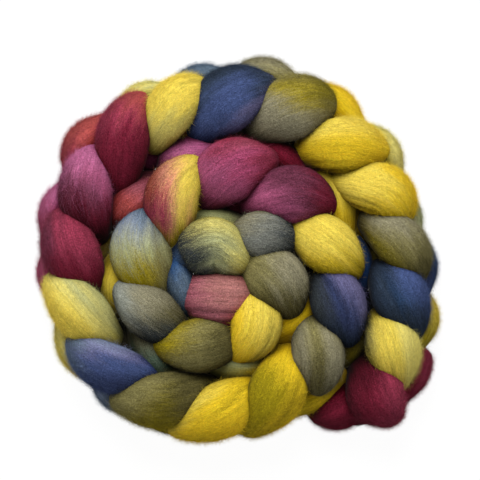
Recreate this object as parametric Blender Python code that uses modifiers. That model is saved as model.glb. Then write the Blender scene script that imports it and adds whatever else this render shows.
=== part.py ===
"""A wool roving: one strand of dyed combed wool, chained like crochet and coiled flat.

Metres, +Z up. The coil lies on z = 0, centred on the origin, with its outer end at +X -Y.
The tables are in millimetres.
"""

from collections import namedtuple

import bmesh
import bpy
import numpy as np

MM = 0.001

# A row for each chain stitch, from the outer end of the coil to its middle, seen from above in millimetres.
# tip: the pinched point where the stitch's inner leg comes up through the stitch before it.
# belly: the middle of the fat part of that leg. nose: where the leg dives under the next stitch.
# flank: the middle of the outer leg, on the side of the braid.
# inner and outer: half the width of the two legs. lift: how far the stitch stands above the rest.
Stitch = namedtuple("Stitch", "tip belly nose flank inner outer lift")
STITCHES = [
    Stitch((46, -90), (55, -87), (63, -80), (68, -86), 12.5, 8.0, -17),
    Stitch((84, -90), (77, -83), (73, -70), (95, -67), 16.5, 11.0, -2),
    Stitch((88, -73), (85.5, -56), (81.5, -44.5), (100, -37), 15.0, 11.0, 0),
    Stitch((96, -46), (89.5, -28), (83, -17), (99, -7), 15.5, 11.0, 0),
    Stitch((99, -13), (92, 1), (80, 11.5), (90, 21), 14.0, 11.0, 0),
    Stitch((91, 18.5), (83, 31), (66, 36), (78, 56), 14.5, 10.5, 0),
    Stitch((79, 54), (62, 58), (47, 57), (53, 81), 16.0, 11.0, 0),
    Stitch((51, 79.5), (35, 81), (18, 74), (15, 97), 17.5, 11.0, 0),
    Stitch((19, 91), (-3, 85), (-15, 74), (-21, 93), 17.5, 10.5, 0),
    Stitch((-18.5, 90), (-34, 81.5), (-43, 68), (-53, 82), 14.0, 11.0, 0),
    Stitch((-53, 83), (-63, 66), (-65, 46), (-85, 59), 15.0, 12.0, 0),
    Stitch((-80, 54.5), (-84.5, 34), (-81, 18), (-99, 21), 15.0, 12.0, 0),
    Stitch((-96, 21), (-93.5, 2.5), (-86, -12.5), (-100, -13), 15.5, 11.0, 0),
    Stitch((-101, -15), (-89, -32), (-77.5, -43.5), (-88, -55), 14.5, 11.0, 0),
    Stitch((-90, -51), (-75, -64), (-57.5, -69), (-66, -78.5), 13.5, 10.0, 0),
    Stitch((-66, -81), (-45, -84), (-26, -80), (-37, -90), 15.5, 10.5, 0),
    Stitch((-33, -97), (-13, -91), (1, -82), (3, -90), 15.0, 10.5, 0),
    Stitch((7, -97), (20, -82), (25.5, -66.5), (46, -74.5), 16.0, 12.0, 0),
    Stitch((43, -76), (46, -62), (42, -48.5), (62, -50), 14.5, 11.0, 0),
    Stitch((60, -50), (57, -33), (51, -20), (65, -7), 15.5, 10.0, 0),
    Stitch((64, -12), (52, -0.5), (39, 9), (54, 31), 15.5, 11.5, 0),
    Stitch((51, 24), (33, 31.5), (17, 28), (23, 51), 16.0, 10.5, 0),
    Stitch((19, 49), (-2, 46), (-13, 36), (-28, 53), 17.5, 13.5, 0),
    Stitch((-22, 48.5), (-37, 32.5), (-37, 13), (-61, 28.5), 15.5, 15.5, 0),
    Stitch((-51, 21), (-56, 0), (-47.5, -15.5), (-68, -18), 17.0, 12.0, 0),
    Stitch((-64, -19), (-51, -33), (-38, -41.5), (-47, -60), 14.5, 12.0, 0),
    Stitch((-43, -53), (-24, -55), (-10, -50), (1, -64.5), 15.5, 11.5, 0),
    Stitch((-1, -58.5), (10, -46), (10, -30), (33, -39), 14.5, 12.0, 0),
    Stitch((29, -34.5), (23.5, -19), (13, -10.5), (28, 0), 17.0, 9.0, 1),
    Stitch((29, 4), (16, 8), (6, 7), (-12, 15), 15.0, 10.5, -2),
    Stitch((4, -9), (-13, 2), (-25, -2), (-31, -21), 15.0, 7.5, 0),
]

# A row for each station of the strand through one stitch, from its neck, out along the outer leg, behind the
# neck of the next stitch, back along the inner leg and down, then under the braid to the next neck.
# The station lies between two spots, `share` of the way from the first, moved `ahead` and `outward` in mm.
# `gauge` and `width` give its half width, `thick` its half thickness, and `face` the way that its broad side
# looks, as (ahead, outward, up).
Station = namedtuple("Station", "first second share ahead outward height gauge width thick face")
OUTER_LEG = [
    Station("neck", "neck", 0, 0, -5, 12, "neck", 1, 6, (-0.3, 0.3, -1)),
    Station("tip", "flank", 0.4, 0, -2, 15, "outer", 0.7, 7, (-0.2, 1, 0.7)),
    Station("flank", "flank", 0, -1, -0.5, 17.5, "outer", 1.05, 11, (0, 1, 0.7)),
    Station("flank", "flank", 0, 10, -6, 14, "outer", 0.85, 8.5, (0.4, 1, 0.5)),
]
HEAD = [
    Station("next_tip", "next_tip", 0, 8, -3, 13, "neck", 1.4, 8.5, (1, 0.3, 0)),
    Station("next_tip", "nose", 0.6, 8, -2, 12, "neck", 1.8, 10, (0.3, -1, 0.2)),
    Station("nose", "belly", -0.5, 0, 0, 16, "inner", 0.62, 9, (0.2, -0.6, 1)),
]
INNER_LEG = [
    Station("nose", "nose", 0, 0, 0, 24.5, "inner", 0.88, 11.5, (0, -0.3, 1)),
    Station("nose", "belly", 0.5, 0, 0, 29.5, "inner", 1.02, 13, (0, -0.1, 1)),
    Station("belly", "belly", 0, 0, 0, 31, "inner", 1, 13, (-0.1, 0.1, 1)),
    Station("belly", "tip", 0.5, 0, 0, 28, "inner", 0.84, 12, (-0.3, 0.1, 1)),
    Station("tip", "tip", 0, 0, 0, 20, "neck", 1, 7.5, (-0.6, -0.2, 1)),
]
UNDERSIDE = [
    Station("neck", "neck", 0, 1, -8, 13, "neck", 1, 6, (-1, -0.3, 0.3)),
    Station("neck", "neck", 0, 3, -13, 10, "neck", 2, 9.5, (-0.3, -0.3, -1)),
    Station("neck", "next_tip", 0.5, 0, -15, 9.5, "neck", 2.8, 10.5, (0, -0.2, -1)),
]

# The height of the stations on a stitch's crest, half the width of a neck, how far a neck lies behind its
# tip, and the middle of the coil's outline, which goes to the origin: all in millimetres.
CREST_HEIGHT = 31
NECK = 6
NECK_BEHIND_TIP = 4
COIL_MIDDLE = (0, 1.4)

# The free end, from the last stitch's nose round and across the middle of the coil: x, y, height, half width,
# half thickness and the way that its broad side looks, as (x, y, up).
EndPoint = namedtuple("EndPoint", "x y height width thick face")
FREE_END = [
    EndPoint(-34, -8, 22, 8, 9, (0, 0, 1)),
    EndPoint(-31, -21, 25, 9.5, 11, (0, 0, 1)),
    EndPoint(-26, -37, 18, 8, 9, (0, 0, 1)),
    EndPoint(-9, -40, 10, 10, 8, (0, 0, -1)),
    EndPoint(8, -31, 15, 12, 9, (0, 0, -1)),
    EndPoint(2, -28, 24, 14, 11, (0.3, 0, 1)),
    EndPoint(-11, -27.5, 28, 15.5, 12, (0, 0, 1)),
    EndPoint(-21, -26.5, 24, 14, 11, (0, 0, 1)),
    EndPoint(-27, -28, 16, 10.5, 8, (0, 0, 1)),
]

# The loft has this many sections for each station and points around each section. The voxels join the turns
# of the strand where they press on each other, and the skin is thinned to about this many triangles.
STEPS_PER_STATION = 4
SIDES = 20
VOXEL = 2.4 * MM
TRIANGLES = 10500
TINY = 1e-9

FLOOR_SIDE = 400 * MM
FLOOR_DEPTH = 40 * MM

WOOL_COLOUR = (0.42, 0.33, 0.07, 1)
WOOL_ROUGHNESS = 0.95


def unit(vectors):
    """The same vectors, a row each, at length 1."""
    return vectors / np.maximum(np.linalg.norm(vectors, axis=-1, keepdims=True), TINY)


def stitch_spots(stitches):
    """Each stitch's named spots, and the directions ahead along the braid and outward from the coil."""
    middles = np.array([(np.add(np.add(s.tip, s.belly), s.nose)) / 3 for s in stitches])
    ahead = unit(np.gradient(middles, axis=0))
    found = []
    for stitch, forward in zip(stitches, ahead):
        tip = np.array(stitch.tip, float)
        found.append({
            "tip": tip,
            "neck": tip - NECK_BEHIND_TIP * forward,
            "belly": np.array(stitch.belly, float),
            "nose": np.array(stitch.nose, float),
            "flank": np.array(stitch.flank, float),
            "ahead": forward,
            "outward": np.array((forward[1], -forward[0])),
        })
    for spots, following in zip(found, found[1:]):
        spots["next_tip"] = following["tip"]
        spots["next_ahead"] = following["ahead"]
        spots["next_outward"] = following["outward"]
    return found


def section(station, stitch, spots):
    """One section of the strand as a row: place, half width, half thickness and broad side's direction."""
    whose = "next_" if station.first == "next_tip" else ""
    ahead, outward = spots[whose + "ahead"], spots[whose + "outward"]
    place = (1 - station.share) * spots[station.first] + station.share * spots[station.second]
    place = place + station.ahead * ahead + station.outward * outward
    height = station.height + stitch.lift * station.height / CREST_HEIGHT
    half_width = station.width * {"neck": NECK, "inner": stitch.inner, "outer": stitch.outer}[station.gauge]
    face = station.face[0] * ahead + station.face[1] * outward
    return (*place, height, half_width, station.thick, *face, station.face[2])


def strand_sections(stitches):
    """The sections of the whole strand, from the outer end to the free end in the middle."""
    rows = []
    spots = stitch_spots(stitches)
    for stitch, here in zip(stitches[:-1], spots):
        rows += [section(s, stitch, here) for s in OUTER_LEG + HEAD + INNER_LEG + UNDERSIDE]
    rows += [section(s, stitches[-1], spots[-1]) for s in [OUTER_LEG[0], *reversed(INNER_LEG)]]
    rows += [(p.x, p.y, p.height, p.width, p.thick, *p.face) for p in FREE_END]
    return np.array(rows) - (*COIL_MIDDLE, 0, 0, 0, 0, 0, 0)


def smooth(rows, steps):
    """The rows with `steps` - 1 more between each two, on a centripetal Catmull-Rom spline."""
    padded = np.vstack([2 * rows[0] - rows[1], rows, 2 * rows[-1] - rows[-2]])
    gaps = np.linalg.norm(np.diff(padded[:, :3], axis=0), axis=1) ** 0.5
    out = []
    for i in range(1, len(padded) - 2):
        before, here, after = gaps[i - 1 : i + 2]
        a, b, c, d = padded[i - 1 : i + 3]
        leaving = here * ((b - a) / before - (c - a) / (before + here)) + c - b
        arriving = here * ((d - c) / after - (d - b) / (here + after)) + c - b
        for t in np.arange(steps) / steps:
            eased = t * t * (3 - 2 * t)
            out.append((1 - eased) * b + eased * c + t * (1 - t) * ((1 - t) * leaving - t * arriving))
    return np.array([*out, rows[-1]])


def carried_frames(places, first):
    """The strand's direction and an untwisted side direction, carried from section to section."""
    along = unit(np.gradient(places, axis=0))
    side = [unit(first - along[0] * (first @ along[0]))]
    for i in range(1, len(places)):
        step = unit(places[i] - places[i - 1])
        mirrored_side = side[-1] - 2 * (step @ side[-1]) * step
        mirrored_along = along[i - 1] - 2 * (step @ along[i - 1]) * step
        turn = unit(along[i] - mirrored_along)
        side.append(mirrored_side - 2 * (turn @ mirrored_side) * turn)
    return along, np.array(side)


def strand_rings(rows, sides):
    """A ring of points for each section: an ellipse, its thin way along the face direction."""
    places, half_width, half_thickness, face = np.split(rows, [3, 4, 5], axis=1)
    along, side = carried_frames(places, face[0])
    thin = unit(face - along * np.sum(face * along, axis=1, keepdims=True))
    wide = np.cross(along, thin)
    rings = []
    for angle in np.linspace(0, 2 * np.pi, sides, endpoint=False):
        spoke = np.cos(angle) * side + np.sin(angle) * np.cross(along, side)
        across = np.sum(spoke * wide, axis=1, keepdims=True) / half_width
        through = np.sum(spoke * thin, axis=1, keepdims=True) / half_thickness
        rings.append(places + spoke / np.hypot(across, through))
    return np.stack(rings, axis=1)


def lofted_mesh(name, rings):
    """A closed mesh through the rings, with an end cap on the first and the last."""
    rows, sides = rings.shape[:2]
    quads = []
    for row in range(rows - 1):
        for i in range(sides):
            j = (i + 1) % sides
            quads.append((row * sides + i, row * sides + j, (row + 1) * sides + j, (row + 1) * sides + i))
    caps = [tuple(reversed(range(sides))), tuple((rows - 1) * sides + i for i in range(sides))]
    mesh = bpy.data.meshes.new(name)
    mesh.from_pydata((rings.reshape(-1, 3) * MM).tolist(), [], quads + caps)
    return mesh


def outer_skin(mesh):
    """The mesh without the closed pockets that lie inside it."""
    shell = bmesh.new()
    shell.from_mesh(mesh)
    unseen = set(shell.verts)
    groups = []
    while unseen:
        group, front = set(), [unseen.pop()]
        while front:
            vertex = front.pop()
            group.add(vertex)
            for edge in vertex.link_edges:
                other = edge.other_vert(vertex)
                if other in unseen:
                    unseen.discard(other)
                    front.append(other)
        groups.append(group)
    groups.sort(key=len)
    bmesh.ops.delete(shell, geom=[v for group in groups[:-1] for v in group], context="VERTS")
    shell.to_mesh(mesh)
    shell.free()


def pressed_flat(body, collection):
    """Cuts the body off at z = 0 with a floor block, so that it lies flat where it touches."""
    bpy.ops.mesh.primitive_cube_add(size=1, location=(0, 0, -FLOOR_DEPTH / 2))
    floor = bpy.context.active_object
    floor.name = "floor_cutter"
    floor.dimensions = (FLOOR_SIDE, FLOOR_SIDE, FLOOR_DEPTH)
    bpy.ops.object.transform_apply(location=False, rotation=False, scale=True)
    for owner in floor.users_collection:
        owner.objects.unlink(floor)
    collection.objects.link(floor)
    floor.hide_render = True
    floor.display_type = "WIRE"
    cut = body.modifiers.new("flat_underside", "BOOLEAN")
    cut.operation = "DIFFERENCE"
    cut.solver = "EXACT"
    cut.object = floor


def wool_material():
    material = bpy.data.materials.new("dyed_wool")
    material.use_nodes = True
    shader = material.node_tree.nodes["Principled BSDF"]
    shader.inputs["Base Color"].default_value = WOOL_COLOUR
    shader.inputs["Roughness"].default_value = WOOL_ROUGHNESS
    shader.inputs["Metallic"].default_value = 0
    return material


def build():
    for old in list(bpy.data.objects):
        bpy.data.objects.remove(old)
    parts = bpy.data.collections.new("wool_roving")
    cutters = bpy.data.collections.new("cutters")
    bpy.context.scene.collection.children.link(parts)
    bpy.context.scene.collection.children.link(cutters)

    rows = smooth(strand_sections(STITCHES), STEPS_PER_STATION)
    braid = bpy.data.objects.new("roving_braid", lofted_mesh("roving_braid", strand_rings(rows, SIDES)))
    parts.objects.link(braid)

    felted = braid.modifiers.new("felted", "REMESH")
    felted.mode = "VOXEL"
    felted.voxel_size = VOXEL
    bpy.context.view_layer.update()
    skin = bpy.data.meshes.new_from_object(braid.evaluated_get(bpy.context.evaluated_depsgraph_get()))
    braid.modifiers.clear()
    braid.data = skin
    outer_skin(skin)
    skin.materials.append(wool_material())
    skin.shade_smooth()

    triangles = sum(len(face.vertices) - 2 for face in skin.polygons)
    coarse = braid.modifiers.new("coarse", "DECIMATE")
    coarse.ratio = TRIANGLES / triangles
    pressed_flat(braid, cutters)


build()
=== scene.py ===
"""The looks of a chained and coiled braid of dyed wool roving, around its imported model."""

import math
from collections import namedtuple

import bpy
import numpy as np
from mathutils.bvhtree import BVHTree
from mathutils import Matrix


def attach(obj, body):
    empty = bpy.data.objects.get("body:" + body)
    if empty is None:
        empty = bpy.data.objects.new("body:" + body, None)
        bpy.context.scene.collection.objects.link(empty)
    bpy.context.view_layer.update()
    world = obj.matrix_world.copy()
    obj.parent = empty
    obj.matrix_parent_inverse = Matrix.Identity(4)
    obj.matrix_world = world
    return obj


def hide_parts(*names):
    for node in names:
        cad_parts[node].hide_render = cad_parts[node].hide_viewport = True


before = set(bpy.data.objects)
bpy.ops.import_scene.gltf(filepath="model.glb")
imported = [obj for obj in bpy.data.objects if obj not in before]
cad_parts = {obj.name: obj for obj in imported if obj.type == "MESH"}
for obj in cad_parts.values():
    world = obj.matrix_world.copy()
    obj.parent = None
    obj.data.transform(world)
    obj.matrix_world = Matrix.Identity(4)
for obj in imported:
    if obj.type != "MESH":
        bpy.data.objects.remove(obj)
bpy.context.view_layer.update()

# ---------------------------------------------------------------------------------------------------------
# The roving: one long strand of combed wool, about 30 mm wide where it is loose. It is chained like crochet
# and the chain is coiled flat, so every stitch shows a fat inner leg on top and an outer leg on its side.
# Its own end is tucked across the middle of the coil. Nothing holds it but the friction of the fibres.
# ---------------------------------------------------------------------------------------------------------

# The tables of this script are in millimetres, and Blender works in metres.
MM = 0.001

# A row for each chain stitch, from the outer end of the coil to its middle, seen from above in millimetres.
# tip: the pinched point where the stitch's inner leg comes up through the stitch before it.
# belly: the middle of the fat part of that leg. nose: where the leg dives under the next stitch.
# flank: the middle of the outer leg, on the side of the braid.
# inner and outer: half the width of the two legs. lift: how far the stitch stands above the rest.
Stitch = namedtuple("Stitch", "tip belly nose flank inner outer lift")
STITCHES = [
    Stitch((46, -90), (55, -87), (63, -80), (68, -86), 12.5, 8.0, -17),
    Stitch((84, -90), (77, -83), (73, -70), (95, -67), 16.5, 11.0, -2),
    Stitch((88, -73), (85.5, -56), (81.5, -44.5), (100, -37), 15.0, 11.0, 0),
    Stitch((96, -46), (89.5, -28), (83, -17), (99, -7), 15.5, 11.0, 0),
    Stitch((99, -13), (92, 1), (80, 11.5), (90, 21), 14.0, 11.0, 0),
    Stitch((91, 18.5), (83, 31), (66, 36), (78, 56), 14.5, 10.5, 0),
    Stitch((79, 54), (62, 58), (47, 57), (53, 81), 16.0, 11.0, 0),
    Stitch((51, 79.5), (35, 81), (18, 74), (15, 97), 17.5, 11.0, 0),
    Stitch((19, 91), (-3, 85), (-15, 74), (-21, 93), 17.5, 10.5, 0),
    Stitch((-18.5, 90), (-34, 81.5), (-43, 68), (-53, 82), 14.0, 11.0, 0),
    Stitch((-53, 83), (-63, 66), (-65, 46), (-85, 59), 15.0, 12.0, 0),
    Stitch((-80, 54.5), (-84.5, 34), (-81, 18), (-99, 21), 15.0, 12.0, 0),
    Stitch((-96, 21), (-93.5, 2.5), (-86, -12.5), (-100, -13), 15.5, 11.0, 0),
    Stitch((-101, -15), (-89, -32), (-77.5, -43.5), (-88, -55), 14.5, 11.0, 0),
    Stitch((-90, -51), (-75, -64), (-57.5, -69), (-66, -78.5), 13.5, 10.0, 0),
    Stitch((-66, -81), (-45, -84), (-26, -80), (-37, -90), 15.5, 10.5, 0),
    Stitch((-33, -97), (-13, -91), (1, -82), (3, -90), 15.0, 10.5, 0),
    Stitch((7, -97), (20, -82), (25.5, -66.5), (46, -74.5), 16.0, 12.0, 0),
    Stitch((43, -76), (46, -62), (42, -48.5), (62, -50), 14.5, 11.0, 0),
    Stitch((60, -50), (57, -33), (51, -20), (65, -7), 15.5, 10.0, 0),
    Stitch((64, -12), (52, -0.5), (39, 9), (54, 31), 15.5, 11.5, 0),
    Stitch((51, 24), (33, 31.5), (17, 28), (23, 51), 16.0, 10.5, 0),
    Stitch((19, 49), (-2, 46), (-13, 36), (-28, 53), 17.5, 13.5, 0),
    Stitch((-22, 48.5), (-37, 32.5), (-37, 13), (-61, 28.5), 15.5, 15.5, 0),
    Stitch((-51, 21), (-56, 0), (-47.5, -15.5), (-68, -18), 17.0, 12.0, 0),
    Stitch((-64, -19), (-51, -33), (-38, -41.5), (-47, -60), 14.5, 12.0, 0),
    Stitch((-43, -53), (-24, -55), (-10, -50), (1, -64.5), 15.5, 11.5, 0),
    Stitch((-1, -58.5), (10, -46), (10, -30), (33, -39), 14.5, 12.0, 0),
    Stitch((29, -34.5), (23.5, -19), (13, -10.5), (28, 0), 17.0, 9.0, 1),
    Stitch((29, 4), (16, 8), (6, 7), (-12, 15), 15.0, 10.5, -2),
    Stitch((4, -9), (-13, 2), (-25, -2), (-31, -21), 15.0, 7.5, 0),
]

# A row for each station of the strand through one stitch: from its neck out along the outer leg, behind the
# neck of the next stitch, back along the inner leg and down, then under the braid to the next neck.
# The station lies between two spots, `share` of the way from the first, moved `ahead` and `outward` in mm.
# `width` times its gauge is its half width, `thick` its half thickness in mm, and `face` the way that its
# broad side looks, as (ahead, outward, up). `rings` is how many rings the mesh has from it to the next.
Station = namedtuple("Station", "first second share ahead outward height gauge width thick face rings")
OUTER_LEG = [
    Station("neck", "neck", 0, 0, -5, 12, "neck", 1, 6, (-0.3, 0.3, -1), 4),
    Station("tip", "flank", 0.4, 0, -2, 15, "outer", 0.7, 7, (-0.2, 1, 0.7), 5),
    Station("flank", "flank", 0, -1, -0.5, 17.5, "outer", 1.05, 11, (0, 1, 0.7), 5),
    Station("flank", "flank", 0, 10, -6, 14, "outer", 0.85, 8.5, (0.4, 1, 0.5), 3),
]
HEAD = [
    Station("next_tip", "next_tip", 0, 8, -3, 13, "neck", 1.4, 8.5, (1, 0.3, 0), 2),
    Station("next_tip", "nose", 0.6, 8, -2, 12, "neck", 1.8, 10, (0.3, -1, 0.2), 2),
    Station("nose", "belly", -0.5, 0, 0, 16, "inner", 0.62, 9, (0.2, -0.6, 1), 7),
]
INNER_LEG = [
    Station("nose", "nose", 0, 0, 0, 24.5, "inner", 0.88, 11.5, (0, -0.3, 1), 7),
    Station("nose", "belly", 0.5, 0, 0, 29.5, "inner", 1.02, 13, (0, -0.1, 1), 7),
    Station("belly", "belly", 0, 0, 0, 31, "inner", 1, 13, (-0.1, 0.1, 1), 7),
    Station("belly", "tip", 0.5, 0, 0, 28, "inner", 0.84, 12, (-0.3, 0.1, 1), 8),
    Station("tip", "tip", 0, 0, 0, 20, "neck", 1, 7.5, (-0.6, -0.2, 1), 4),
]
UNDERSIDE = [
    Station("neck", "neck", 0, 1, -8, 13, "neck", 1, 6, (-1, -0.3, 0.3), 2),
    Station("neck", "neck", 0, 3, -13, 10, "neck", 2, 9.5, (-0.3, -0.3, -1), 2),
    Station("neck", "next_tip", 0.5, 0, -15, 9.5, "neck", 2.8, 10.5, (0, -0.2, -1), 2),
]

# The height of the stations on a stitch's crest, half the width of a neck, how far a neck lies behind its
# tip, and the middle of the coil's outline, which goes to the origin: all in millimetres.
CREST_HEIGHT = 31
NECK = 6
NECK_BEHIND_TIP = 4
COIL_MIDDLE = (0, 1.4)

# The free end, from the last stitch's nose round and across the middle of the coil: its place, height, half
# width and half thickness in mm, the way that its broad side looks, as (x, y, up), and the number of the
# row of END_DYES that colours it.
EndPoint = namedtuple("EndPoint", "x y height width thick face dyes")
FREE_END = [
    EndPoint(-34, -8, 22, 8, 9, (0, 0, 1), 0),
    EndPoint(-31, -21, 25, 9.5, 11, (0, 0, 1), 0),
    EndPoint(-26, -37, 18, 8, 9, (0, 0, 1), 0),
    EndPoint(-9, -40, 10, 10, 8, (0, 0, -1), 0),
    EndPoint(8, -31, 15, 12, 9, (0, 0, -1), 1),
    EndPoint(2, -28, 24, 14, 11, (0.3, 0, 1), 1),
    EndPoint(-11, -27.5, 28, 15.5, 12, (0, 0, 1), 1),
    EndPoint(-21, -26.5, 24, 14, 11, (0, 0, 1), 1),
    EndPoint(-27, -28, 16, 10.5, 8, (0, 0, 1), 1),
]

# How many rings the free end has from point to point, and how many points each ring of the strand has.
END_RINGS = 6
SIDES = 44


def unit(vectors):
    """The same vectors, a row each, at length 1."""
    tiny = 1e-9
    return vectors / np.maximum(np.linalg.norm(vectors, axis=-1, keepdims=True), tiny)


def eased(share):
    """A share from 0 to 1 that starts and stops gently."""
    share = np.clip(share, 0, 1)
    return share * share * (3 - 2 * share)


def stitch_spots(stitches):
    """Each stitch's named spots, and the directions ahead along the braid and outward from the coil."""
    middles = np.array([np.add(np.add(s.tip, s.belly), s.nose) / 3 for s in stitches])
    ahead = unit(np.gradient(middles, axis=0))
    found = []
    for stitch, forward in zip(stitches, ahead):
        tip = np.array(stitch.tip, float)
        found.append({
            "tip": tip,
            "neck": tip - NECK_BEHIND_TIP * forward,
            "belly": np.array(stitch.belly, float),
            "nose": np.array(stitch.nose, float),
            "flank": np.array(stitch.flank, float),
            "ahead": forward,
            "outward": np.array((forward[1], -forward[0])),
        })
    for spots, following in zip(found, found[1:]):
        spots["next_tip"] = following["tip"]
        spots["next_ahead"] = following["ahead"]
        spots["next_outward"] = following["outward"]
    return found


def section(station, stitch, spots):
    """One section of the strand as a row: place, half width, half thickness and broad side's direction."""
    whose = "next_" if station.first == "next_tip" else ""
    ahead, outward = spots[whose + "ahead"], spots[whose + "outward"]
    place = (1 - station.share) * spots[station.first] + station.share * spots[station.second]
    place = place + station.ahead * ahead + station.outward * outward
    height = station.height + stitch.lift * station.height / CREST_HEIGHT
    half_width = station.width * {"neck": NECK, "inner": stitch.inner, "outer": stitch.outer}[station.gauge]
    face = station.face[0] * ahead + station.face[1] * outward
    return (*place, height, half_width, station.thick, *face, station.face[2])


# The strand's sections from the outer end to the free end, the number of rings from each to the next, and
# the leg that each lies on: two to a stitch, with the turns between stitches as fractions.
sections, rings_after, leg_at = [], [], []
for number, (stitch, spots) in enumerate(zip(STITCHES, stitch_spots(STITCHES))):
    outer_leg, inner_leg = 2 * number, 2 * number + 1
    stations = [(station, outer_leg) for station in OUTER_LEG + HEAD[:1]]
    stations += [(station, inner_leg) for station in HEAD[1:] + INNER_LEG]
    stations += [(station, inner_leg + share) for station, share in zip(UNDERSIDE, (0.25, 0.5, 0.75))]
    # The last stitch is one leg, which comes up at its tip and runs on into the free end.
    if stitch is STITCHES[-1]:
        stations = [(station, inner_leg) for station in [OUTER_LEG[0], *reversed(INNER_LEG)]]
    for station, leg in stations:
        sections.append(section(station, stitch, spots))
        rings_after.append(station.rings)
        leg_at.append(leg)
for point in FREE_END:
    sections.append((point.x, point.y, point.height, point.width, point.thick, *point.face))
    rings_after.append(END_RINGS)
    leg_at.append(2 * len(STITCHES) + point.dyes)
sections = np.array(sections) - (*COIL_MIDDLE, 0, 0, 0, 0, 0, 0)


def smooth(rows, steps):
    """The rows with the given number of `steps` from each to the next, on a centripetal Catmull-Rom spline,
    and where each new row lies among the old ones."""
    padded = np.vstack([2 * rows[0] - rows[1], rows, 2 * rows[-1] - rows[-2]])
    gaps = np.linalg.norm(np.diff(padded[:, :3], axis=0), axis=1) ** 0.5
    out, stations = [], []
    for i in range(1, len(padded) - 2):
        before, here, after = gaps[i - 1 : i + 2]
        a, b, c, d = padded[i - 1 : i + 3]
        leaving = here * ((b - a) / before - (c - a) / (before + here)) + c - b
        arriving = here * ((d - c) / after - (d - b) / (here + after)) + c - b
        for t in np.arange(steps[i - 1]) / steps[i - 1]:
            share = eased(t)
            out.append((1 - share) * b + share * c + t * (1 - t) * ((1 - t) * leaving - t * arriving))
            stations.append(i - 1 + t)
    return np.array([*out, rows[-1]]), np.array([*stations, len(rows) - 1])


def carried_frames(places, first):
    """The strand's direction and an untwisted side direction, carried from section to section."""
    along = unit(np.gradient(places, axis=0))
    side = [unit(first - along[0] * (first @ along[0]))]
    for i in range(1, len(places)):
        step = unit(places[i] - places[i - 1])
        mirrored_side = side[-1] - 2 * (step @ side[-1]) * step
        mirrored_along = along[i - 1] - 2 * (step @ along[i - 1]) * step
        turn = unit(along[i] - mirrored_along)
        side.append(mirrored_side - 2 * (turn @ mirrored_side) * turn)
    return along, np.array(side)


def strand_rings(rows, angles):
    """A ring of points for each section, an ellipse with its thin way along the face direction, and each
    point's lean: its angle there in degrees, 90 on the face and 0 on the right of the strand's way."""
    places, half_width, half_thickness, face = np.split(rows, [3, 4, 5], axis=1)
    along, side = carried_frames(places, face[0])
    thin = unit(face - along * np.sum(face * along, axis=1, keepdims=True))
    wide = np.cross(along, thin)
    points, leans = [], []
    for angle in angles:
        spoke = np.cos(angle) * side + np.sin(angle) * np.cross(along, side)
        across = np.sum(spoke * wide, axis=1, keepdims=True)
        through = np.sum(spoke * thin, axis=1, keepdims=True)
        points.append(places + spoke / np.hypot(across / half_width, through / half_thickness))
        leans.append(np.degrees(np.arctan2(through, across))[:, 0])
    return np.stack(points, axis=1), np.stack(leans, axis=1)


# The stations of a stitch between which its bends are made rounder, over how many stations that sets in,
# and how often it is done.
STATIONS_A_STITCH = len(OUTER_LEG + HEAD + INNER_LEG + UNDERSIDE)
BEND_START = 6.5
BEND_END = 11
BEND_FADE = 0.8
BEND_PASSES = 40


def rounded_bends(rows, station_of):
    """The rows with the bends of the inner legs made rounder, so that the fat strand doesn't crease."""
    at = station_of % STATIONS_A_STITCH
    soft = (eased((at - BEND_START) / BEND_FADE) * eased((BEND_END - at) / BEND_FADE))[:, None]
    soft[[0, -1]] = 0
    for _ in range(BEND_PASSES):
        level = (np.roll(rows, 1, axis=0) + 2 * rows + np.roll(rows, -1, axis=0)) / 4
        rows = rows + soft * (level - rows)
    return rows


# How often the points of tight bends are evened out, and below what share of the mean step they are tight.
GATHER_PASSES = 20
GATHER_BELOW = 0.5


def gathered(points):
    """The grid of rings with its points evened out where a tight bend bunches them up."""
    for _ in range(GATHER_PASSES):
        middles = points.mean(axis=1)
        way = unit(np.roll(middles, -1, axis=0) - np.roll(middles, 1, axis=0))
        step = np.sum((np.roll(points, -1, axis=0) - np.roll(points, 1, axis=0)) * way[:, None], axis=2) / 2
        tight = eased(1 - step / (GATHER_BELOW * step.mean(axis=1, keepdims=True)))[..., None]
        tight[[0, -1]] = 0
        level = (np.roll(points, 1, axis=0) + np.roll(points, -1, axis=0)) / 2
        points = points * (1 - tight) + level * tight
    return points


def grid_normals(points):
    """The outward direction at each point of the strand's grid of rings."""
    along = np.gradient(points, axis=0)
    around = np.roll(points, -1, axis=1) - np.roll(points, 1, axis=1)
    return unit(np.cross(around, along))


def drift(run, spacing, chance):
    """A random run of values from 0 to 1 along the strand, with a new one every `spacing` mm."""
    knots = np.arange(0, run[-1] + 2 * spacing, spacing)
    return np.interp(run, knots, chance.random(len(knots)))


# The soft ribs that combing and dyeing leave, as how many go round the strand and their height in mm.
RIBS = [(1, 0.4), (2, 0.3), (3, 0.2), (5, 0.1), (8, 0.06)]

# Over how many mm of strand the ribs wander and change their size, and that size as shares of their height:
# the least, and the most that chance adds to it.
RIB_WANDER = 60
RIB_LENGTH = 25
RIB_LEAST = 0.3
RIB_MORE = 1.2


def combed_relief(run, angles, chance):
    """How far the surface stands proud at the ribs, in mm."""
    proud = np.zeros((len(run), len(angles)))
    for count, height in RIBS:
        phase = 2 * np.pi * drift(run, RIB_WANDER, chance)
        size = height * (RIB_LEAST + RIB_MORE * drift(run, RIB_LENGTH, chance))
        proud += size[:, None] * np.sin(count * angles + phase[:, None])
    return proud


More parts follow.
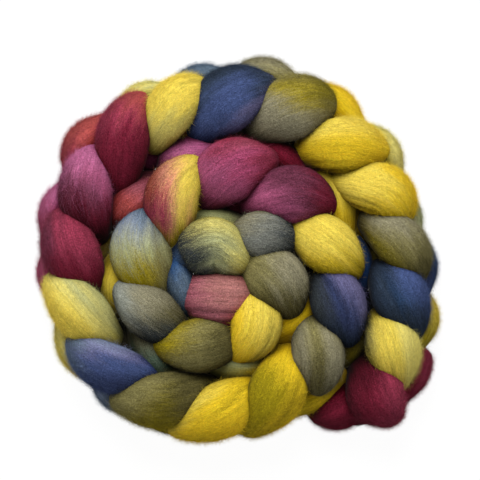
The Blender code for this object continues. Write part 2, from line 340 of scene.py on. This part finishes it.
# The folds where the flat roving is gathered along itself: the stitch, the first and last station, the lean
# there in degrees, and the depth in mm.
Fold = namedtuple("Fold", "stitch start end lean end_lean depth")
FOLDS = [
    Fold(2, 6.5, 9.5, 30, 20, 0.8),
    Fold(5, 6.2, 9.8, 38, 22, 1.0),
    Fold(5, 6.4, 9.4, 62, 40, 0.8),
    Fold(6, 6.4, 9.3, 30, 18, 0.9),
    Fold(6, 6.6, 8.8, 55, 40, 0.5),
    Fold(9, 9.2, 11, 120, 105, 0.8),
    Fold(12, 9.5, 11, 95, 90, 0.6),
    Fold(15, 6.6, 8.8, 60, 75, 0.7),
    Fold(15, 7.5, 9.8, 95, 110, 0.5),
    Fold(16, 6.6, 9, 85, 100, 0.7),
    Fold(17, 7.6, 11, 138, 150, 0.9),
    Fold(17, 8.2, 11, 155, 165, 0.8),
    Fold(19, 6.4, 10.4, 92, 98, 1.1),
    Fold(21, 6.4, 9.6, 42, 30, 0.8),
    Fold(21, 9, 11, 115, 105, 0.5),
    Fold(23, 8.2, 11, 78, 92, 0.6),
    Fold(27, 8, 10.8, 135, 148, 0.9),
    Fold(27, 8.6, 10.8, 155, 163, 0.8),
    Fold(30, 9.6, 13.8, 128, 128, 0.9),
    Fold(30, 9.9, 13.5, 150, 152, 0.8),
]

# A fold's half width in degrees of lean, how gently it fades at its ends, and its lip: the height as a
# share of the depth, and how many half widths off the fold it lies.
FOLD_WIDTH = 6
FOLD_FADE = 0.7
LIP_HEIGHT = 0.4
LIP_OFFSET = 2.2


def folded(leans, station_of):
    """How far the surface stands proud at the folds, in mm: a groove with a lip where the lean is more."""
    proud = np.zeros(leans.shape)
    for fold in FOLDS:
        share = (station_of - STATIONS_A_STITCH * fold.stitch - fold.start) / (fold.end - fold.start)
        lean = fold.lean + (fold.end_lean - fold.lean) * share
        depth = fold.depth * np.clip(4 * share * (1 - share), 0, 1) ** FOLD_FADE
        off = ((leans - lean[:, None] + 180) % 360 - 180) / FOLD_WIDTH
        groove = np.exp(-(off**2)) - LIP_HEIGHT * np.exp(-((off - LIP_OFFSET) ** 2))
        proud -= depth[:, None] * groove
    return proud


# The half width from which the strand has its full relief. The table presses flat what would lie below it:
# the least height over it, and how soft the pressed edge is. All are in mm.
FULL_HALF_WIDTH = 14
TABLE_GAP = 0.3
PRESSED = 1.5

chance = np.random.default_rng(seed=7)
rows, station_of = smooth(sections, rings_after)
rows = rounded_bends(rows, station_of)
angles = np.linspace(0, 2 * np.pi, SIDES, endpoint=False)
grid, leans = strand_rings(rows, angles)
grid = gathered(grid)
run = np.concatenate([[0], np.cumsum(np.linalg.norm(np.diff(rows[:, :3], axis=0), axis=1))])
fullness = np.minimum(1, rows[:, 3:4] / FULL_HALF_WIDTH)
folds = fullness * folded(leans, station_of)
relief = fullness * combed_relief(run, angles, chance) + folds
grid = grid + relief[..., None] * grid_normals(grid)
grid[..., 2] = TABLE_GAP + PRESSED * np.logaddexp(0, (grid[..., 2] - TABLE_GAP) / PRESSED)
normals = grid_normals(grid)

# The dyes as they look in full light, as screen colours, and the white and the gamma of such colours.
SCREEN_WHITE = 255
SCREEN_GAMMA = 2.2
DYES = {
    "gold": (222, 191, 44),
    "yellow": (221, 199, 84),
    "lemon": (214, 202, 114),
    "straw": (168, 171, 125),
    "mustard": (154, 138, 26),
    "olive": (118, 107, 30),
    "khaki": (130, 123, 78),
    "taupe": (140, 135, 110),
    "umber": (90, 84, 50),
    "silver": (152, 156, 146),
    "grey": (128, 130, 122),
    "slate": (96, 112, 128),
    "charcoal": (60, 65, 68),
    "sage": (96, 112, 96),
    "sky": (136, 148, 172),
    "denim": (50, 78, 116),
    "blue": (72, 86, 128),
    "navy": (48, 58, 72),
    "indigo": (57, 66, 100),
    "violet": (110, 106, 142),
    "orchid": (180, 104, 142),
    "mauve": (164, 86, 119),
    "magenta": (162, 74, 107),
    "plum": (106, 55, 73),
    "crimson": (142, 56, 76),
    "burgundy": (113, 34, 52),
    "wine": (76, 22, 34),
    "brick": (164, 78, 74),
    "rust": (136, 64, 48),
    "peach": (206, 142, 120),
    "salmon": (168, 114, 109),
    "rose": (166, 98, 110),
}

# The dyes of each stitch's inner and outer leg: the dye of its middle, then each dye that it runs into, the
# side where that lies as a compass point, and how many millimetres from the middle the change is. Many of
# the darker dyes to the south, away from the window, such as mustard on yellow, are partly painted shade,
# and the wine to the north of the second stitch's inner leg is a painted shadow where the third lies over
# it.
Colouring = namedtuple("Colouring", "inner outer")
COLOURING = [
    Colouring("burgundy, wine W 10", "wine, burgundy N 4"),
    Colouring("burgundy, wine N 6, wine W 9, crimson E 3", "burgundy, crimson E 3"),
    Colouring("yellow, lemon E 4, khaki W 10, mustard SW 12", "yellow, mustard S 7"),
    Colouring("denim, blue NE 5, navy S 6, navy W 6", "denim, indigo S 4"),
    Colouring("khaki, taupe N 5, olive SW 6, umber SE 9", "grey, straw E 4"),
    Colouring("yellow, gold E 2, gold S 6", "lemon, straw W 4, khaki S 8"),
    Colouring("gold, yellow N 4, mustard S 14", "gold"),
    Colouring("mustard, khaki N 8, olive E 7, taupe S 4, taupe SW 5", "khaki, taupe N 5, olive S 8"),
    Colouring("blue, navy NW 8, navy E 9, violet SE 12", "slate, denim S 5"),
    Colouring("yellow, lemon S 9", "lemon, straw E 5"),
    Colouring("burgundy, crimson N 0, brick NE 11", "brick, crimson S 4"),
    Colouring("plum, mauve NE 1, orchid N 8, burgundy S 9, wine SW 9", "mauve, orchid N 4, crimson S 2"),
    Colouring("crimson, plum W 10, burgundy S 10", "magenta, rose N 6"),
    Colouring("lemon, yellow SW 4, straw NE 9", "lemon, yellow S 6"),
    Colouring("blue, violet N 3, sky N 10, indigo S 6, slate W 11", "sky, slate S 4"),
    Colouring("olive, khaki NW 0, umber E 8, mustard S 12", "olive"),
    Colouring("gold, yellow NW 9, mustard S 16", "gold, mustard S 4"),
    Colouring("mustard, gold NE 9, gold SE 8", "gold, mustard W 6"),
    Colouring("umber, khaki N 5, taupe E 5, taupe W 9", "umber, olive S 4"),
    Colouring("indigo, violet NE 4, charcoal W 6, navy S 9", "denim"),
    Colouring("yellow, gold S 4, mustard S 10", "yellow, gold S 9"),
    Colouring("plum, burgundy E 9, mauve SW 8", "burgundy"),
    Colouring("magenta, rose N 10, crimson NW 6, crimson E 10, mauve SW 5", "orchid, plum W 10"),
    Colouring(
        "brick, peach N 3, rust W 7, crimson S 7, peach E 1, yellow E 6, mustard S 24",
        "brick, rose NE 4",
    ),
    Colouring("straw, silver N 2, sky N 13, slate NE 12, mustard S 7, khaki E 12", "yellow"),
    Colouring("taupe, silver W 8, umber SE 9, charcoal S 11", "sage, taupe N 6"),
    Colouring("khaki, mustard NW 8, umber E 9", "straw, mustard S 3, gold E 8"),
    Colouring("yellow, gold W 3", "gold"),
    Colouring("taupe, khaki W 4, umber S 5", "umber"),
    Colouring("grey, taupe NW 6, charcoal E 5", "straw, taupe E 6"),
    Colouring("straw, lemon N 8, lemon E 12, khaki W 9, charcoal SW 8", "blue"),
]
COMPASS = {"N": (0, 1), "NE": (0.7, 0.7), "E": (1, 0), "SE": (0.7, -0.7)}
COMPASS |= {"S": (0, -1), "SW": (-0.7, -0.7), "W": (-1, 0), "NW": (-0.7, 0.7)}

# How far to each side of a change of dye the two are mixed, in mm.
DYE_BLUR = 7

# The dyes of the free end's two parts, and the middles that they are placed from.
END_DYES = [
    ("slate, denim N 8, charcoal S 12", (-31, -21)),
    ("salmon, rose S 6, rose W 10, brick SE 10", (-8, -29)),
]


def linear(dye):
    """A named dye as a linear colour."""
    return (np.array(DYES[dye]) / SCREEN_WHITE) ** SCREEN_GAMMA


def leg_dye_and_shade(recipe, middle, places, stray):
    """The dye at each place of a leg, with the painted shade that its recipe holds. `stray` is how far a
    lock of fibres is off the others, in mm.
    """
    first, *others = recipe.split(", ")
    colour = np.tile(linear(first), (*places.shape[:-1], 1))
    for other in others:
        dye, side, start = other.split()
        past = (places[..., :2] - middle) @ np.array(COMPASS[side]) - float(start) + stray
        share = eased(0.5 + past / (2 * DYE_BLUR))[..., None]
        colour = colour * (1 - share) + share * linear(dye)
    return colour


# How far a lock of fibres carries a dye astray, on its own and with its neighbours, and how long the lock
# is, in mm. Then the painted shade in a fold's groove and the painted highlight on its lip: how much the
# colour changes for each mm of the fold's depth, and the darkest and lightest that it may be painted.
OWN_STRAY = 5
SHARED_STRAY = 4
LOCK_LENGTH = 22
PAINTED_FOLD_SHADE = 0.6
PAINTED_FOLD_DARKEST = 0.4
PAINTED_LIP_LIGHTEST = 1.15

legs = []
for stitch, colouring in zip(STITCHES, COLOURING):
    legs += [(colouring.outer, stitch.flank), (colouring.inner, stitch.belly)]
legs += END_DYES
leg_of = np.interp(station_of, np.arange(len(leg_at)), leg_at)
own_drift = np.stack([drift(run, LOCK_LENGTH, chance) - 0.5 for _ in angles], axis=1)
shared_drift = np.roll(own_drift, 1, axis=1) + own_drift + np.roll(own_drift, -1, axis=1)
stray = OWN_STRAY * own_drift + SHARED_STRAY * shared_drift
grid_dye_and_shade = np.zeros(grid.shape)
for number, (recipe, middle) in enumerate(legs):
    weight = np.clip(1 - np.abs(leg_of - number), 0, 1)
    near = np.flatnonzero(weight)
    found = leg_dye_and_shade(recipe, np.subtract(middle, COIL_MIDDLE), grid[near], stray[near])
    grid_dye_and_shade[near] += weight[near][:, None, None] * found
# Painted shade in the grooves of the folds, and a painted highlight on their lips.
grid_dye_and_shade *= np.clip(1 + PAINTED_FOLD_SHADE * folds, PAINTED_FOLD_DARKEST, PAINTED_LIP_LIGHTEST)[..., None]


def strand_faces(rows, sides):
    """The faces of a closed strand: its rings joined up, and a cap on each end."""
    row, i = np.meshgrid(np.arange(rows - 1) * sides, np.arange(sides), indexing="ij")
    j = (i + 1) % sides
    quads = np.stack([row + i, row + j, row + sides + j, row + sides + i], axis=-1).reshape(-1, 4)
    caps = [list(range(sides))[::-1], [(rows - 1) * sides + i for i in range(sides)]]
    return quads.tolist() + caps


# The ray that tells whether a point of the strand is buried: how far off the point it starts, and the least
# gap from there to the next wool, in mm.
SEEN_START = 0.3
SEEN_GAP = 0.6

# The rays that look for open sky: how many go from each point, how far off the wool they start and how far
# they look, in mm, and how strongly they lean outward.
SKY_RAYS = 16
SKY_START = 0.4
SKY_REACH = 45
SKY_LEAN = 1.05


def seen_from_outside(wool, points, outward):
    """Which points of the strand aren't buried in another turn of it."""
    seen = np.zeros(len(points), bool)
    for i, (point, way) in enumerate(zip(points, outward)):
        hit, normal, _, distance = wool.ray_cast((point + SEEN_START * way).tolist(), way.tolist())
        seen[i] = hit is None or (normal.dot(way.tolist()) < 0 and distance > SEEN_GAP)
    return seen


def openness(wool, points, outward, chance):
    """How much of the sky over each point is free of wool nearby, from 0 in a deep cleft to 1."""
    ways = unit(chance.normal(size=(SKY_RAYS, 3)))
    free = np.zeros(len(points))
    for i, (point, normal) in enumerate(zip(points, outward)):
        start = (point + SKY_START * normal).tolist()
        for ray in unit(ways + SKY_LEAN * normal).tolist():
            free[i] += wool.ray_cast(start, ray, SKY_REACH)[0] is None
    return free / SKY_RAYS


wool_points, wool_normals = grid.reshape(-1, 3), normals.reshape(-1, 3)
wool_faces = strand_faces(*grid.shape[:2])
wool = BVHTree.FromPolygons(wool_points.tolist(), wool_faces)
shown = seen_from_outside(wool, wool_points, wool_normals)
# The open sky sets how dark the clefts are painted with shade, and how many fibres grow there.
grid_sky = np.zeros(len(wool_points))
grid_sky[shown] = openness(wool, wool_points[shown], wool_normals[shown], chance)
shown, grid_sky = shown.reshape(grid.shape[:2]), grid_sky.reshape(grid.shape[:2])
# It is evened out twice along the strand and once around it.
for axis in (0, 0, 1):
    grid_sky = (np.roll(grid_sky, 1, axis) + grid_sky + np.roll(grid_sky, -1, axis)) / 3


class Shade:
    """A socket of a material's nodes, with the operators that its arithmetic needs."""

    def __init__(self, tree, socket=None):
        self.tree = tree
        self.socket = socket

    def node(self, kind, settings, sockets, out=0):
        """Adds a node: its settings first, then a value or a link for each of the named sockets."""
        made = self.tree.nodes.new("ShaderNode" + kind)
        for name, value in settings.items():
            setattr(made, name, value)
        for name, value in sockets.items():
            if isinstance(value, Shade):
                self.tree.links.new(value.socket, made.inputs[name])
            else:
                made.inputs[name].default_value = value
        return Shade(self.tree, made.outputs[out])

    def maths(self, operation, *values):
        """Adds a Math node for values alone."""
        return self.node("Math", {"operation": operation}, dict(enumerate(values)))

    def __add__(self, other):
        return self.maths("ADD", self, other)

    def __sub__(self, other):
        return self.maths("SUBTRACT", self, other)

    def __rsub__(self, other):
        return self.maths("SUBTRACT", other, self)

    def __mul__(self, other):
        return self.maths("MULTIPLY", self, other)

    def __pow__(self, other):
        return self.maths("POWER", self, other)

    __radd__ = __add__
    __rmul__ = __mul__


def new_material(name, **settings):
    """A material, a Shade that adds nodes to it, and its shader. The settings are the shader's sockets that
    are the same all over it, such as Base_Color for Base Color."""
    material = bpy.data.materials.new(name)
    material.use_nodes = True
    shader = material.node_tree.nodes["Principled BSDF"]
    for socket, value in settings.items():
        shader.inputs[socket.replace("_", " ")].default_value = value
    return material, Shade(material.node_tree), shader


def give(varying, shader, socket):
    """Links what varies over the surface to one of the shader's sockets."""
    varying.tree.links.new(varying.socket, shader.inputs[socket])


# The noises that streak the wool: the scale, detail and roughness of each, and how strongly it shows. Locks
# and hairs lie along the strand, and felt is the matted grain that hides them in part.
Noise = namedtuple("Noise", "scale detail roughness strength")
LOCKS = Noise(4.5, 2.0, 0.5, 0.5)
HAIRS = Noise(36.0, 3.0, 0.65, 1.1)
FELT = Noise(1300.0, 3.0, 0.6, 1.7)

# How narrow the creases between locks are and how dark the painted shade along them is, how strong the
# streaks are on black wool, and how much of that is lost towards white.
CREASE_NARROWNESS = 25
CREASE_PAINTED_SHADE = 0.25
BLACK_CONTRAST = 1.4
WHITE_CONTRAST_LOSS = 1.7


def combed_streaks_and_crease_shade(shade, dye):
    """How light the wool is over its surface, with less contrast on a light dye and painted shade along the
    creases between locks, and its fine height.
    """

    def noise(vector, kind):
        sockets = {"Scale": kind.scale, "Detail": kind.detail, "Roughness": kind.roughness}
        return shade.node("TexNoise", {}, {"Vector": vector, **sockets})

    fibre = shade.node("Attribute", {"attribute_name": "fibre"}, {}, out="Vector")
    place = shade.node("TexCoord", {}, {}, out="Object")
    locks, hairs, felt = noise(fibre, LOCKS), noise(fibre, HAIRS), noise(place, FELT)
    crease = shade.maths("MINIMUM", shade.maths("ABSOLUTE", locks - 0.5) * CREASE_NARROWNESS, 1)
    contrast = BLACK_CONTRAST - shade.node("RGBToBW", {}, {"Color": dye}) * WHITE_CONTRAST_LOSS
    streaks = (locks - 0.5) * LOCKS.strength + (hairs - 0.5) * HAIRS.strength + (felt - 0.5) * FELT.strength
    # Painted shade: the colour is darker along the creases between locks.
    light = (1 + contrast * streaks) * (1 - CREASE_PAINTED_SHADE + crease * CREASE_PAINTED_SHADE)
    return light, hairs + felt + crease


# The painted shade in the clefts: the share of the light that the deepest cleft is painted with, and how
# much that painted shade deepens the dye's colour there. Then the gloss that all the wool has.
PAINTED_CLEFT_LIGHT = 0.04
PAINTED_CLEFT_DEEPENING = 0.6
WOOL_GLOSS = {"Specular_IOR_Level": 0.04, "Sheen_Weight": 0.03}


def painted_cleft_light(open_sky):
    """Painted shade for wool with this much open sky: the share of light left, as a value or as a socket.
    """
    return PAINTED_CLEFT_LIGHT + open_sky**0.5 * (1 - PAINTED_CLEFT_LIGHT)


def painted_cleft_gamma(open_sky):
    """Gamma of the painted shade that deepens the dye with this much open sky, as a value or as a socket.
    """
    return 1 + (1 - open_sky) ** 2 * PAINTED_CLEFT_DEEPENING


def roving_material():
    """Dyed combed wool: streaks along the fibres, matted a little, and painted shade in clefts and creases.
    """
    material, shade, shader = new_material("roving_wool", Roughness=0.9, Sheen_Roughness=0.5, **WOOL_GLOSS)
    # The dye attribute already holds painted shade from the folds and from the recipes.
    dye = shade.node("Attribute", {"attribute_name": "dye"}, {}, out="Color")
    open_sky = shade.node("Attribute", {"attribute_name": "open_sky"}, {}, out="Fac")
    streaks, fine_height = combed_streaks_and_crease_shade(shade, dye)
    # Painted shade: darker and deeper colour where little sky is open, in the clefts.
    light = streaks * painted_cleft_light(open_sky)
    deep = shade.node("Gamma", {}, {"Color": dye, "Gamma": painted_cleft_gamma(open_sky)})
    give(shade.node("VectorMath", {"operation": "SCALE"}, {0: deep, "Scale": light}), shader, "Base Color")
    bump = {"Strength": 0.4, "Distance": 0.1 * MM, "Height": fine_height}
    give(shade.node("Bump", {}, bump), shader, "Normal")
    return material


def add_attribute(mesh, name, kind, values):
    """Gives a mesh's points a named value, vector or colour each."""
    field = {"FLOAT": "value", "FLOAT_VECTOR": "vector", "FLOAT_COLOR": "color"}[kind]
    made = mesh.attributes.new(name, kind, "POINT")
    made.data.foreach_set(field, np.ascontiguousarray(values, np.float32).ravel())


def with_alpha(colours):
    """The colours, a row each, with an alpha of 1."""
    colours = colours.reshape(-1, 3)
    return np.column_stack([colours, np.ones(len(colours))])


def placed(name, data):
    """An object in the scene with this mesh, light or camera."""
    made = bpy.data.objects.new(name, data)
    bpy.context.scene.collection.objects.link(made)
    return made


# Where each point lies for the streaks: they are drawn out along the strand, where this many mm count for
# as much as the strand's half width does across it.
STREAK_LENGTH = 300
grid_fibre = np.stack([
    np.repeat(np.cos(angles)[None], len(run), axis=0),
    np.repeat(np.sin(angles)[None], len(run), axis=0),
    np.repeat(run[:, None] / STREAK_LENGTH, SIDES, axis=1),
], axis=-1)

strand_mesh = bpy.data.meshes.new("roving_strand")
strand_mesh.from_pydata((wool_points * MM).tolist(), [], wool_faces)
strand_mesh.shade_smooth()
add_attribute(strand_mesh, "fibre", "FLOAT_VECTOR", grid_fibre)
# The dye attribute holds the dye with painted shade from the recipes and from the folds.
add_attribute(strand_mesh, "dye", "FLOAT_COLOR", with_alpha(grid_dye_and_shade))
add_attribute(strand_mesh, "open_sky", "FLOAT", grid_sky)
strand_mesh.materials.append(roving_material())
strand = placed("roving_strand", strand_mesh)
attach(strand, "root")
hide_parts("roving_braid")

# ---------------------------------------------------------------------------------------------------------
# The loose fibres: combed wool never lies quite smooth. Long fibres follow the strand just above its
# surface, short ones mat it, and ends spring away from it, which gives the roving its soft edge. They are
# the same dyed wool, and each is held only by the others around its root.
# ---------------------------------------------------------------------------------------------------------

# A row for each kind of fibre. steps: how many pieces one is made of, where one alone is a tapered sliver.
# length, rise and width: the usual length, the highest rise off the wool and the usual half width, in mm.
# slant, curl and roll: how far it strays from the strand's way, bends to the side and turns, in radians.
# sides_only: how much it keeps to the strand's sides. mixed: how much lightness varies from one to another.
FibreKind = namedtuple("FibreKind", "name count steps length rise slant curl width roll sides_only mixed")
FIBRE_KINDS = [
    FibreKind("lying_fibres", 32000, 3, 6, 0.5, 0.2, 0.35, 0.035, 0.3, 0, 0.2),
    FibreKind("felted_ends", 195000, 1, 1.1, 0.6, 1.5, 0.9, 0.07, 1.2, 0, 0.35),
    FibreKind("springing_ends", 195000, 1, 1.6, 1.4, 1.5, 0.9, 0.05, 1.5, 0, 0.35),
    FibreKind("halo_ends", 195000, 1, 3.0, 4.2, 1.5, 0.9, 0.05, 1.5, 2, 0.2),
]

# Fewer fibres grow on the underside: the share that is left there, and the upward part of the surface's
# direction below which it is that and above which all grow. Fewer grow in the clefts as well: their number
# goes with a power of the open sky, which counts as a little more than it is.
UNDERSIDE_SHARE = 0.25
FEWEST_BELOW = -0.6
ALL_ABOVE = -0.1
MORE_SKY = 0.1
SKY_POWER = 2

# The ranges that single fibres vary over: shares of their kind's length and width, square roots of shares
# of its rise, and the part of an arch that they follow up from the wool, for long fibres and for slivers.
LENGTHS = (0.5, 1.4)
WIDTHS = (0.6, 1.3)
ROOTS_OF_RISE = (0.1, 1)
FIBRE_ARCHES = (0.4, 0.95)
SLIVER_ARCHES = (0.4, 0.6)

# How thin a fibre is along itself, as shares of its length and of its width there.
TAPER_AT = (0, 0.3, 0.7, 1)
TAPER = (0.7, 1, 0.9, 0.2)

# The least lift off the wool in mm, how far from its root a fibre's dye is taken, in rings and in sides of
# the grid, and how much paler it is than there.
LEAST_LIFT = 0.06
DYE_RINGS_OFF = 2
DYE_SIDES_OFF = 0.8
PALER = 0.003


def at_grid(values, ring, side):
    """The values of the strand's grid at places between its rings and sides."""
    low_ring = np.clip(ring.astype(int), 0, values.shape[0] - 2)
    ring_share = np.clip(ring - low_ring, 0, 1)[..., None]
    low_side = np.floor(side).astype(int)
    side_share = (side - low_side)[..., None]
    a, b = low_side % SIDES, (low_side + 1) % SIDES
    first = values[low_ring, a] * (1 - side_share) + values[low_ring, b] * side_share
    second = values[low_ring + 1, a] * (1 - side_share) + values[low_ring + 1, b] * side_share
    return first * (1 - ring_share) + second * ring_share


def on_strand(ring):
    """The ring numbers, kept just short of the strand's last ring."""
    return np.clip(ring, 0, len(run) - 1.001)


def fibre_roots(kind, chance):
    """The rings and sides of the grid that the fibres start from, of which most are out in the open."""
    patch = np.linalg.norm(np.cross(np.gradient(grid, axis=0), np.roll(grid, -1, 1) - grid), axis=2)
    upward = normals[..., 2]
    sideways = 1 - np.abs(upward)
    above = eased((upward - FEWEST_BELOW) / (ALL_ABOVE - FEWEST_BELOW))
    from_above = UNDERSIDE_SHARE + (1 - UNDERSIDE_SHARE) * above
    in_open = (MORE_SKY + grid_sky) ** (SKY_POWER + kind.sides_only)
    weight = (patch * shown * in_open * sideways**kind.sides_only * from_above).ravel()
    root = chance.choice(len(weight), kind.count, p=weight / weight.sum())
    return [start[:, None] + chance.random((kind.count, 1)) for start in np.divmod(root, SIDES)]


def fibre_lines(kind, root_ring, root_side, chance):
    """The fibres' middle lines, the way out from the wool along them, and the shares of their length."""
    each = (kind.count, 1)
    near = root_ring[:, 0].astype(int)
    ring_size = np.gradient(run)[near][:, None]
    side_size = np.linalg.norm(np.roll(grid, -1, 1) - grid, axis=2).mean(axis=1)[near][:, None]
    t = np.linspace(0, 1, kind.steps + 1)[None]
    length = kind.length * chance.uniform(*LENGTHS, each)
    turn = chance.normal(0, kind.slant, each) + chance.normal(0, kind.curl, each) * t
    heading = chance.choice((-1, 1), each)
    ahead = np.cumsum(np.cos(turn), axis=1) * length / kind.steps * heading
    across = np.cumsum(np.sin(turn), axis=1) * length / kind.steps
    ring = on_strand(root_ring + ahead / ring_size)
    side = root_side + across / side_size
    outward = unit(at_grid(normals, ring, side))
    arches = FIBRE_ARCHES if kind.steps > 1 else SLIVER_ARCHES
    arch = np.sin(np.pi * chance.uniform(*arches, each) * t)
    lift = LEAST_LIFT + kind.rise * chance.uniform(*ROOTS_OF_RISE, each) ** 2 * arch
    place = at_grid(grid, ring, side) + outward * lift[..., None]
    place[..., 2] = np.maximum(place[..., 2], TABLE_GAP)
    return place, outward, t


def fibre_ribbons(kind, place, outward, t, chance):
    """The points and faces of the fibres: a ribbon of `steps` quads each, or a single triangle."""
    each = (kind.count, 1)
    forward = unit(np.gradient(place, axis=1))
    flat = unit(np.cross(outward, forward))
    roll = chance.normal(0, kind.roll, each)
    wide = flat * np.cos(roll)[..., None] + np.cross(forward, flat) * np.sin(roll)[..., None]
    half_width = kind.width * chance.uniform(*WIDTHS, each) * np.interp(t, TAPER_AT, TAPER)
    wide = wide * half_width[..., None]
    if kind.steps == 1:
        points = np.stack([place[:, 0] - wide[:, 0], place[:, 1], place[:, 0] + wide[:, 0]], axis=1)
        return points.reshape(-1, 3), np.arange(3 * kind.count).reshape(-1, 3)
    points = np.stack([place - wide, place + wide], axis=2).reshape(-1, 3)
    first = (np.arange(kind.count)[:, None] * (kind.steps + 1) + np.arange(kind.steps)[None]).ravel() * 2
    return points, np.stack([first, first + 2, first + 3, first + 1], axis=1)


def fibre_colours(kind, root_ring, root_side, chance):
    """The colour of each fibre: the dye near its root, with the painted shade of the cleft that it grows
    in.
    """
    each = (kind.count, 1)
    ring = on_strand(root_ring + chance.normal(0, DYE_RINGS_OFF, each))
    side = root_side + chance.normal(0, DYE_SIDES_OFF, each)
    colour = at_grid(grid_dye_and_shade, ring, side)[:, 0] * chance.lognormal(0, kind.mixed, each) + PALER
    # Painted shade: each fibre is darkened like the cleft that it grows in.
    sky = at_grid(grid_sky[..., None], root_ring, root_side)[:, 0]
    return np.clip(colour ** painted_cleft_gamma(sky) * painted_cleft_light(sky), 0, 1)


def loose_fibres(kind, chance):
    """One mesh of fibres, each a thin ribbon or sliver that starts on the strand's visible surface."""
    root_ring, root_side = fibre_roots(kind, chance)
    place, outward, t = fibre_lines(kind, root_ring, root_side, chance)
    points, faces = fibre_ribbons(kind, place, outward, t, chance)
    mesh = bpy.data.meshes.new(kind.name)
    mesh.vertices.add(len(points))
    mesh.vertices.foreach_set("co", (points * MM).astype(np.float32).ravel())
    mesh.loops.add(faces.size)
    mesh.loops.foreach_set("vertex_index", faces.astype(np.int32).ravel())
    mesh.polygons.add(len(faces))
    mesh.polygons.foreach_set("loop_start", np.arange(0, faces.size, faces.shape[1], dtype=np.int32))
    mesh.update(calc_edges=True)
    mesh.shade_smooth()
    if kind.steps > 1:
        mesh.normals_split_custom_set_from_vertices(np.repeat(outward, 2, axis=1).reshape(-1, 3))
    points_each = len(points) // kind.count
    colours = fibre_colours(kind, root_ring, root_side, chance)
    streaks = at_grid(grid_fibre, root_ring, root_side)[:, 0]
    add_attribute(mesh, "fibre_dye_and_shade", "FLOAT_COLOR", with_alpha(np.repeat(colours, points_each, axis=0)))
    add_attribute(mesh, "fibre", "FLOAT_VECTOR", np.repeat(streaks, points_each, axis=0))
    return mesh


def fibre_material():
    """Single dyed fibres: the colour, streaks and painted shade of the wool that they come from."""
    material, shade, shader = new_material("loose_wool", Roughness=0.8, **WOOL_GLOSS)
    dye = shade.node("Attribute", {"attribute_name": "fibre_dye_and_shade"}, {}, out="Color")
    streaks, _ = combed_streaks_and_crease_shade(shade, dye)
    give(shade.node("VectorMath", {"operation": "SCALE"}, {0: dye, "Scale": streaks}), shader, "Base Color")
    return material


loose_wool = fibre_material()
for seed, kind in enumerate(FIBRE_KINDS, start=100):
    fibres = placed(kind.name, loose_fibres(kind, np.random.default_rng(seed)))
    fibres.data.materials.append(loose_wool)
    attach(fibres, "root")

# ---------------------------------------------------------------------------------------------------------
# The table: a flat, plain white board with a matt face, and the coil just lies on it. Most of its white is
# its own glow here, because it is lit so evenly that the coil leaves next to no shadow.
# ---------------------------------------------------------------------------------------------------------
WHITE = (1, 1, 1, 1)
DARK_GREY = (0.04, 0.04, 0.04, 1)
TABLE_SIZE = 4

bpy.ops.mesh.primitive_plane_add(size=TABLE_SIZE)
table = bpy.context.active_object
table.name = "table"
table_top = {"Base_Color": DARK_GREY, "Roughness": 0.9, "Emission_Color": WHITE, "Emission_Strength": 0.96}
table.data.materials.append(new_material("white_table", **table_top)[0])

# ---------------------------------------------------------------------------------------------------------
# The light and the camera: a pale room with one soft window, and the coil seen from almost straight above.
# The window is high up on the far side, so it lights the tops of the stitches and leaves the clefts dark.
# ---------------------------------------------------------------------------------------------------------
world = bpy.data.worlds.new("soft_room")
world.use_nodes = True
room = world.node_tree.nodes["Background"].inputs
room["Color"].default_value = WHITE
room["Strength"].default_value = 0.42
bpy.context.scene.world = world


def aimed(name, data, place, target):
    """An object at a place that looks at the target, with its top side to +Y."""
    made = placed(name, data)
    way = np.subtract(target, place)
    made.location = place
    made.rotation_euler = (math.atan2(math.hypot(way[0], way[1]), -way[2]), 0, math.atan2(-way[0], way[1]))
    return made


window = bpy.data.lights.new("window", "AREA")
window.shape = "DISK"
window.size = 1.0
window.energy = 20
WINDOW_PLACE = (-0.1, 0.75, 0.9)
aimed("window", window, WINDOW_PLACE, (0, 0, 0))

# The picture's width in pixels and its scale, which holds at the height of the stitches' broad backs. Then
# the spot there that is in the picture's middle, placed as the stitches are, and the camera itself.
PICTURE_WIDTH = 480
MM_PER_PIXEL = 0.55
BACK_HEIGHT = 28 * MM
PICTURE_MIDDLE = (1.1, 5.2)
CAMERA_ANGLE = math.radians(85)
CAMERA_DISTANCE = 2.5
SENSOR = 36

middle_x, middle_y = np.subtract(PICTURE_MIDDLE, COIL_MIDDLE) * MM
target = np.array((middle_x, middle_y + BACK_HEIGHT / math.tan(CAMERA_ANGLE), 0))
seat = target + CAMERA_DISTANCE * np.array((0, -math.cos(CAMERA_ANGLE), math.sin(CAMERA_ANGLE)))
camera = bpy.data.cameras.new("camera")
camera.sensor_width = SENSOR
camera.lens = SENSOR * (CAMERA_DISTANCE - BACK_HEIGHT) / (PICTURE_WIDTH * MM_PER_PIXEL * MM)
camera.clip_end = 20
bpy.context.scene.camera = aimed("camera", camera, seat, target)
bpy.context.scene.view_settings.view_transform = "Standard"
